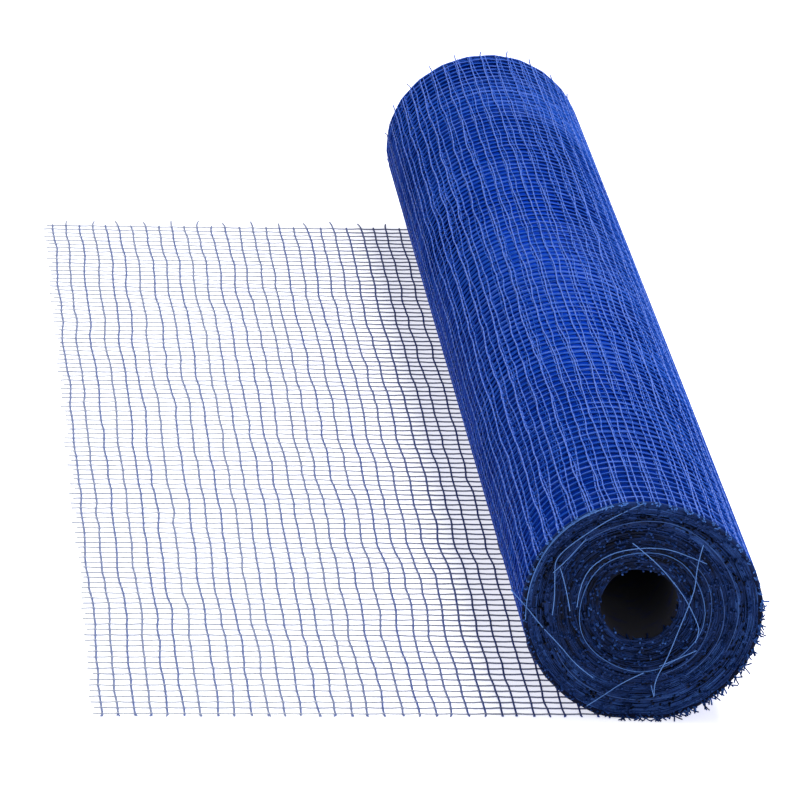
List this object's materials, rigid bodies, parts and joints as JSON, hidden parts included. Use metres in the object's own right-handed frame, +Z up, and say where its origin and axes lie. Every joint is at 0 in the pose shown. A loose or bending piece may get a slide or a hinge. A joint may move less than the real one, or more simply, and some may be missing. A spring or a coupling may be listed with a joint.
{
  "type": "plastic barrier fence roll",
  "caption": "Roll of blue plastic barrier net for fencing off an area, with its loose end laid out flat beside it.",
  "frame": {"origin": "middle of the footprint of the roll and its loose end, on the floor", "axes": "+Z up; +Y along the roll's axis, away from the near end; the loose end lies out towards -X"},
  "size_m": [0.39, 1.031, 0.1336],
  "materials": {
    "net_plastic": "royal blue polyethylene threads with a soft gloss"
  },
  "bodies": {
    "root": {"wound_roll": "net_plastic", "loose_end": "net_plastic"}
  },
  "joints": []
}
